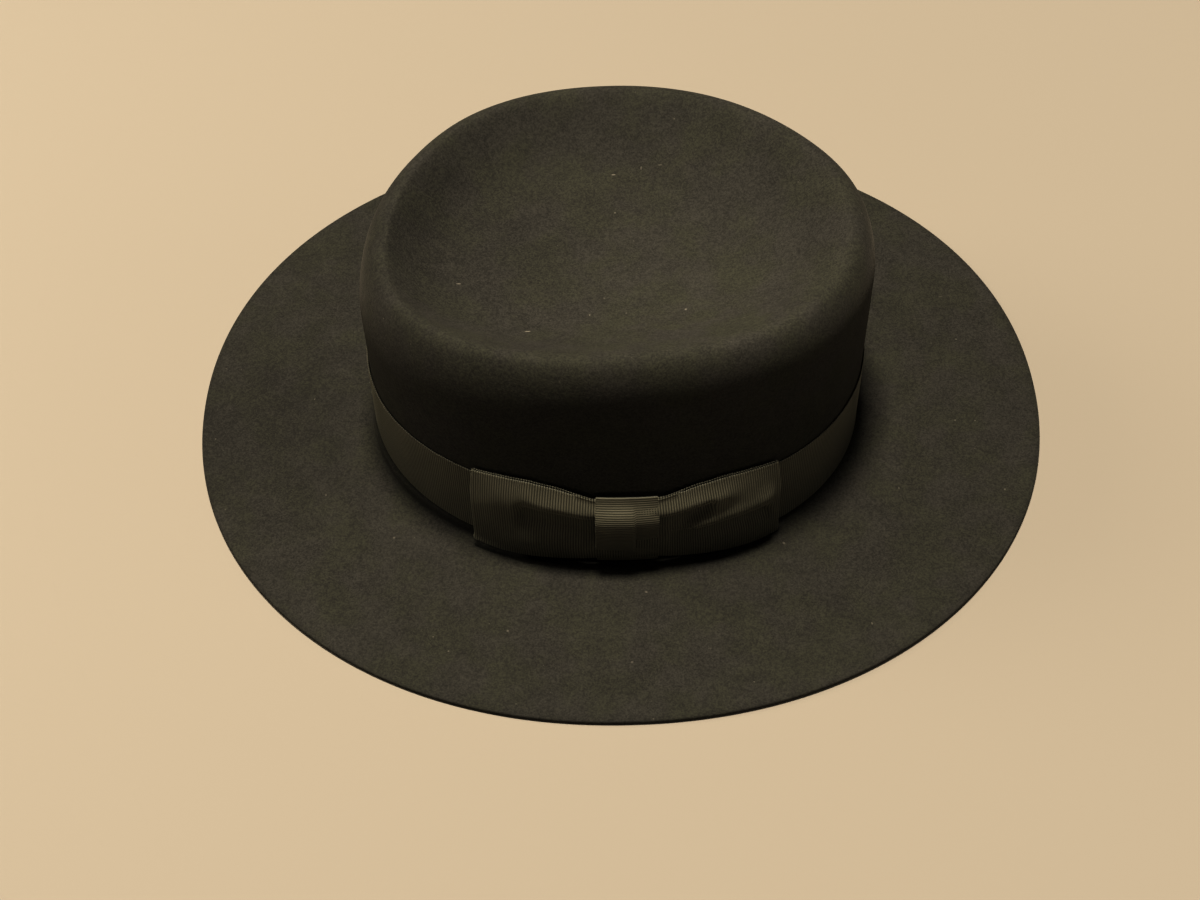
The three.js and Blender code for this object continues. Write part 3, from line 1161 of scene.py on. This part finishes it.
LOOP_FOLDS = {
    Side.LEFT: (
        Fold(0.00, 0.80, 0.50, 0.76, 0.7 * MM, 0.07, 0.07),
        Fold(0.00, 0.56, 0.62, 0.58, -4.4 * MM, 0.13, 0.12, 0.08),
        Fold(0.00, 0.20, 0.70, 0.20, 1.3 * MM, 0.12, 0.14),
        Fold(0.00, 0.97, 0.16, 1.00, -1.2 * MM, 0.05, 0.04, 0.3),
    ),
    Side.RIGHT: (
        Fold(0.00, 0.80, 0.60, 0.84, 0.8 * MM, 0.06, 0.07),
        Fold(0.00, 0.58, 0.44, 0.72, -4.2 * MM, 0.13, 0.06, 0.08),
        Fold(0.30, 0.50, 1.00, 0.62, 1.6 * MM, 0.07, 0.12, 0.1),
        Fold(0.15, 0.32, 0.95, 0.40, -3.2 * MM, 0.12, 0.09, 0.12),
        Fold(0.00, 0.97, 0.16, 1.00, -1.2 * MM, 0.05, 0.04, 0.3),
    ),
}


@dataclass
class Bow:
    """The flat ribbon bow: two loops gathered by a knot, on the ribbon band.

    The back layers stand off the felt by neck_lift at the knot and by back_lift past gather, a
    share of the loop's length. fold_end is the share over which the folds fade at the loop's end.
    """

    band: HatBand
    ribbon: Ribbon
    shift: float = 0.8 * MM
    knot_half: float = 12.6 * MM
    loop_end: float = 59.4 * MM
    neck_end: float = 1.0 * MM
    back_lift: float = 1.15 * MM
    neck_lift: float = 1.9 * MM
    gather: float = 0.35
    fold_end: float = 0.12
    least_gap: float = 0.7 * MM
    most_bulge: float = 1.6 * MM
    table_steps: int = 101
    table_ease: int = 17
    stations: int = 1201
    rows: int = 26

    def place(self, x: Grid, level: Grid, offset: Grid) -> Grid:
        """Gives points of the bow.

        Args:
            x: Distances along the hat's length from the bow's middle.
            level: Shares of the ribbon's width.
            offset: Distances out from the felt.

        Returns:
            The points.
        """
        form = self.band.form
        share = np.clip((x + self.shift + form.crown_shift) / form.crown_half_length, -1.0, 1.0)
        azimuth = -np.arccos(signed_power(share, form.oval_power / 2.0))
        return self.band.point(azimuth, level, offset)

    def section(self, along: Grid, column: str) -> Grid:
        """Reads a column of LOOP_SECTIONS, eased from row to row.

        Args:
            along: Shares of the loop's length from the knot.
            column: Name of the LoopSection field.

        Returns:
            The column's value at each share.
        """
        fine = np.linspace(0.0, 1.0, self.table_steps)
        values = [getattr(row, column) for row in LOOP_SECTIONS]
        values = np.interp(fine, [row.along for row in LOOP_SECTIONS], values)
        kernel = np.hanning(self.table_ease) / np.hanning(self.table_ease).sum()
        padded = np.pad(values, self.table_ease // 2, mode="edge")
        eased = np.convolve(padded, kernel, mode="valid")
        return np.interp(np.clip(along, 0.0, 1.0), fine, eased)

    def back_offset(self, along: Grid) -> Grid:
        """How far a loop's back layer stands off the felt."""
        return mix(self.neck_lift, self.back_lift, smooth(along / self.gather))

    def front_offset(self, side: Side, along: Grid, level: Grid) -> Grid:
        """How far a loop's front layer stands off the felt.

        Args:
            side: Which loop it is.
            along: Shares of the loop's length from the knot.
            level: Shares of the ribbon's own width.

        Returns:
            A distance for each point.
        """
        top, middle, bottom = (self.section(along, column) for column in ("top", "middle", "bottom"))
        ridge = self.section(along, "ridge")
        above = np.clip((level - ridge) / (1.0 - ridge), 0.0, 1.0)
        upper = mix(middle, top, above**1.5)
        gap = np.where(level > ridge, upper, mix(bottom, middle, smooth(level / ridge)))
        folds = sum(fold.at(along, level) for fold in LOOP_FOLDS[side])
        within = smooth((1.0 - along) / self.fold_end)
        return self.back_offset(along) + np.maximum(gap + folds * within, self.least_gap)

    def loop(self, side: Side, material: bpy.types.Material) -> bpy.types.Object:
        """Builds one loop: out along the back, over the outer fold and back to the knot in front.

        Args:
            side: Which loop it is.
            material: The ribbon's material.

        Returns:
            The finished piece.
        """
        reach = self.loop_end - self.knot_half

        def raw(turn: Grid, level: Grid) -> Grid:
            """Follows the loop for turn 0 to 3: back layer, fold, front layer."""
            out = np.where(turn < 1.0, turn, np.clip(3.0 - turn, 0.0, 1.0))
            x = mix(self.neck_end, self.loop_end, out)
            along = np.clip((x - self.knot_half) / reach, 0.0, 1.0)
            angle = np.clip(turn - 1.0, 0.0, 1.0) * math.pi
            own = mix(self.section(along, "low"), self.section(along, "high"), level)
            back = self.back_offset(along)
            front = self.front_offset(side, along, level)
            offset = mix(back, front, (1.0 - np.cos(angle)) / 2)
            bulge = np.minimum((front - back) / 2, self.most_bulge) * np.sin(angle)
            return self.place(side.value * (x + bulge), own, offset)

        turn = np.linspace(0.0, 3.0, self.stations)
        turn_at, length = even_pace(raw(turn[None, :], np.array([[0.5]]))[0], turn)

        def path(share: Grid, level: Grid) -> Grid:
            """Runs the ribbon round the loop at an even pace, with its face outward."""
            return raw(turn_at(share if side is Side.LEFT else 1.0 - share), level)

        name = f"ribbon_loop_{side.name.lower()}"
        piece = self.ribbon.strip(name, path, length, self.rows, closed=False)
        piece.data.materials.append(material)
        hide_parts(f"bow_loop_{side.name.lower()}")
        return piece


@dataclass
class Knot:
    """The ribbon that wraps the two gathered loops, folded so that its left part laps its right.

    Its levels are shares of the band's width: low and high are its ends, over ridge it leans back,
    under tuck_from it tucks in, and under fold_from its right part is folded in. lean_back and tuck
    are shares of its depth. The left part ends at lap_at, lap_step over the right one. waist is how
    much it swells in the middle.
    """

    bow: Bow
    half_width: float = 12.1 * MM
    selvage: float = 0.6 * MM
    low: float = -0.05
    high: float = 1.01
    back: float = 1.2 * MM
    depth: float = 4.9 * MM
    corner: float = 2.4
    ridge: float = 0.70
    lean_back: float = 0.6
    tuck_from: float = 0.62
    tuck: float = 0.65
    fold_from: float = 0.66
    fold_ease: float = 0.2
    fold_in: float = 1.8 * MM
    lap_at: float = 2.6 * MM
    lap_step: float = 0.9 * MM
    lap_edge: float = 0.25 * MM
    waist: float = 0.3 * MM
    stations: int = 1441
    rows: int = 34

    def section(self, turn: Grid) -> tuple[Grid, Grid]:
        """Follows the sleeve's section, up its back and down its front.

        Args:
            turn: Angles round the sleeve.

        Returns:
            The level and the distance out from the felt at each angle.
        """
        power = 2.0 / self.corner
        half_height, centre = (self.high - self.low) / 2, (self.high + self.low) / 2
        level = centre - half_height * signed_power(np.cos(turn), power)
        out = (1.0 - signed_power(np.sin(turn), power)) / 2
        near_top = smooth((level - self.ridge) / (self.high - self.ridge))
        near_foot = smooth((self.tuck_from - level) / (self.tuck_from - self.low))
        depth = self.depth * (1.0 - self.lean_back * near_top - self.tuck * near_foot)
        return level, self.back + depth * out

    def raw(self, turn: Grid, across: Grid) -> Grid:
        """Gives points of the sleeve with its lap.

        Args:
            turn: Angles round the sleeve.
            across: Levels across the sleeve's own ribbon.

        Returns:
            The points.
        """
        level, offset = self.section(turn)
        x = mix(-self.half_width, self.half_width, across)
        front = smooth((offset - self.back) / self.depth * 2 - 0.6)
        over = smooth((self.lap_at - x) / self.lap_edge * 0.5 + 0.5)
        below = smooth((self.fold_from - level) / self.fold_ease)
        under = below * smooth((level - self.low) / self.fold_ease)
        lap = self.lap_step * over - self.fold_in * (1.0 - over) * under
        swell = self.waist * (1.0 - (x / self.half_width) ** 2)
        return self.bow.place(x, level, offset + front * (lap + swell))

    def build(self, material: bpy.types.Material) -> bpy.types.Object:
        """Args:
            material: The ribbon's material.

        Returns:
            The finished piece.
        """
        ribbon = Ribbon(width=2 * self.half_width, selvage=self.selvage)
        turn = np.linspace(0.0, math.tau, self.stations)
        turn_at, length = even_pace(self.raw(turn[None, :], np.array([[0.5]]))[0], turn)

        def path(share: Grid, level: Grid) -> Grid:
            """Runs the ribbon round the sleeve at an even pace, with its face outward."""
            return self.raw(turn_at(1.0 - share), level)

        piece = ribbon.strip("ribbon_knot", path, length, self.rows, closed=True)
        piece.data.materials.append(material)
        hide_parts("bow_knot")
        return piece


# Floor, light and camera


@dataclass(frozen=True)
class ViewPoint:
    """The photograph's viewing angle, fitted to the brim's outline and the ribbon's two edges.

    elevation and roll are in degrees, and lens and sensor in the camera's own millimetres.
    """

    target: Place = (-9.2 * MM, -28.1 * MM, 0.0)
    distance: float = 807.2 * MM
    elevation: float = 51.08
    roll: float = -1.51
    lens: float = 56.0
    sensor: float = 36.0

    def build(self) -> bpy.types.Object:
        """Makes the camera and gives it to the scene.

        Returns:
            The camera.
        """
        data = bpy.data.cameras.new("camera")
        data.lens = self.lens
        data.sensor_width = self.sensor
        camera = new_object("camera", data)
        tilt = math.radians(90.0 - self.elevation)
        turn = Matrix.Rotation(tilt, 3, "X") @ Matrix.Rotation(math.radians(self.roll), 3, "Z")
        place = Vector(self.target) + turn @ Vector((0.0, 0.0, self.distance))
        camera.matrix_world = Matrix.Translation(place) @ turn.to_4x4()
        bpy.context.scene.camera = camera
        return camera


@dataclass(frozen=True)
class Softbox:
    """A square soft light that looks at the hat's crown."""

    name: str
    place: Place
    size: float
    power: float
    colour: Colour = (1.0, 0.91, 0.77)
    target: Place = (0.0, 0.0, 60.0 * MM)

    def build(self) -> bpy.types.Object:
        """Makes the light and turns it towards the crown.

        Returns:
            The light.
        """
        data = bpy.data.lights.new(self.name, "AREA")
        data.size = self.size
        data.energy = self.power
        data.color = self.colour
        light = new_object(self.name, data)
        light.location = self.place
        towards = Vector(self.target) - Vector(self.place)
        light.rotation_euler = towards.to_track_quat("-Z", "Y").to_euler()
        return light


@dataclass
class Studio:
    """The plain pale floor, the soft lights and the air around them.

    The first light is the main lamp, which lights only the floor near the hat. Where its light
    fades the floor takes on far_floor instead, as the backdrop does, so that both are as pale as
    the floor by the hat.
    """

    floor_half: float = 12.0
    floor_colour: Colour = (0.284, 0.258, 0.220)
    floor_roughness: float = 0.9
    floor_specular: float = 0.1
    far_floor: Colour = (0.66, 0.55, 0.41)
    air_colour: Colour = (0.62, 0.56, 0.47)
    air_strength: float = 0.003
    tone_gamma: float = 0.70
    lights: tuple[Softbox, ...] = (
        Softbox("soft_top", (-0.04, 0.0, 1.5), 0.22, 52.5),
        Softbox("soft_side", (-1.00, 0.20, 0.80), 0.6, 7.0),
        Softbox("soft_far_side", (1.00, -0.20, 0.60), 0.5, 1.2),
    )

    def build_floor(self) -> None:
        """Builds the floor and its material."""
        corners = [[-1.0, -1.0, 0.0], [1.0, -1.0, 0.0], [1.0, 1.0, 0.0], [-1.0, 1.0, 0.0]]
        floor = new_mesh("floor", self.floor_half * np.array(corners), [[0, 1, 2, 3]])
        material, graph = new_material("pale_floor")
        place = graph.add("ShaderNodeTexCoord").outputs["Object"]
        away = graph.vector("LENGTH", place, result="Value")
        lamp_height = self.lights[0].place[2]
        out = graph.math("POWER", graph.math("DIVIDE", away, lamp_height), 2.0)
        lamplight = graph.math("POWER", graph.math("ADD", out, 1.0), -2.0)
        graph.surface(
            {
                "Base Color": self.floor_colour,
                "Roughness": self.floor_roughness,
                "Specular IOR Level": self.floor_specular,
                "Emission Color": self.far_floor,
                "Emission Strength": graph.math("SUBTRACT", 1.0, lamplight),
            }
        )
        floor.data.materials.append(material)

    def build_air(self) -> None:
        """Builds the faint light from all round, and the backdrop that the camera sees."""
        world = bpy.data.worlds.new("air")
        world.use_nodes = True
        graph = Graph(world.node_tree)
        seen = graph.add("ShaderNodeLightPath").outputs["Is Camera Ray"]
        colour = graph.blend(seen, self.air_colour, self.far_floor)
        strength = graph.weigh((seen, 1.0 - self.air_strength), start=self.air_strength)
        background = graph.add("ShaderNodeBackground", {"Color": colour, "Strength": strength})
        graph.add("ShaderNodeOutputWorld", {"Surface": background.outputs[0]})
        bpy.context.scene.world = world

    def build(self) -> None:
        """Builds floor, lights and air, and sets how the picture's tones are shown."""
        self.build_floor()
        for light in self.lights:
            light.build()
        self.build_air()
        bpy.context.scene.view_settings.view_transform = "Standard"
        bpy.context.scene.view_settings.gamma = self.tone_gamma


def main() -> None:
    """Builds every piece in order and reports each one."""
    logging.basicConfig(level=logging.INFO, format="%(message)s")
    log = logging.getLogger("fedora")
    ViewPoint().build()
    Studio().build()
    felt_finish = FeltFinish("fur_felt").build(nap_group(), lint_group(), patch_group())
    ribbon_finish = RibbonFinish("ribbed_ribbon").build(weave_group())
    form = HatForm.from_frame()
    band = HatBand(form, Ribbon(width=38.0 * MM))
    bow = Bow(band, band.ribbon)
    pieces = [FeltBody(form).build(felt_finish), band.build(ribbon_finish)]
    pieces += [bow.loop(side, ribbon_finish) for side in Side]
    pieces.append(Knot(bow).build(ribbon_finish))
    for piece in pieces:
        piece.data.calc_loop_triangles()
        log.info("%s: %d triangles", piece.name, len(piece.data.loop_triangles))


if __name__ == "__main__":
    main()
